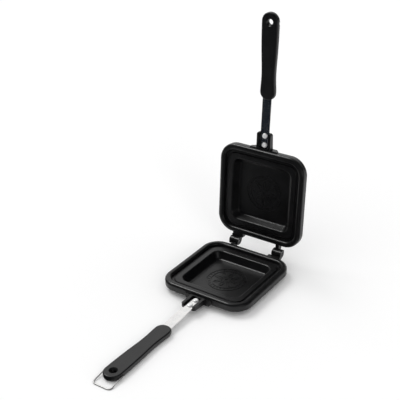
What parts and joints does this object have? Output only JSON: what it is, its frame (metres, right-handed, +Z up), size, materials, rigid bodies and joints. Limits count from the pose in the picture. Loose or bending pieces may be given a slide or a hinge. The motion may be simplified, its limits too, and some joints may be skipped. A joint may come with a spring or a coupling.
{
  "type": "pie iron",
  "caption": "Pie iron: hinged square pans on flat straps with moulded grips, for toasting a filled sandwich over heat, locked shut by a wire bail.",
  "frame": {"origin": "centre of the lower pan's flat base", "axes": "+Z up, +Y towards the hinges, both handles run to -Y when it is closed, +X along the hinge axis; the lid stands open at rest"},
  "size_m": [0.1456, 0.4184, 0.3806],
  "materials": {
    "pan_casting": "dark non-stick coating, satin",
    "strap_steel": "bright plated",
    "grip_moulding": "fine grained, matte black",
    "rivet_steel": "bright",
    "pin_steel": "dull",
    "bail_wire": "bright drawn wire"
  },
  "bodies": {
    "base": {"lower_pan": "pan_casting", "lower_strap": "strap_steel", "lower_grip": "grip_moulding", "lower_rivet_rear": "rivet_steel", "lower_rivet_front": "rivet_steel", "hinge_pin_right": "pin_steel"},
    "lid": {"upper_pan": "pan_casting", "upper_strap": "strap_steel", "upper_grip": "grip_moulding", "upper_rivet_rear": "rivet_steel", "upper_rivet_front": "rivet_steel", "hinge_pin_left": "pin_steel"},
    "bail": {"lock_bail": "bail_wire"}
  },
  "joints": [
    {"name": "lid_hinge", "type": "hinge", "parent": "base", "child": "lid", "pos_m": [0, 0.08435, 0.0196], "axis": [1, 0, 0], "range_deg": [0, 95]},
    {"name": "bail_swing", "type": "hinge", "parent": "base", "child": "bail", "pos_m": [0, -0.26305, 0.0051], "axis": [-1, 0, 0], "range_deg": [0, 176]}
  ]
}
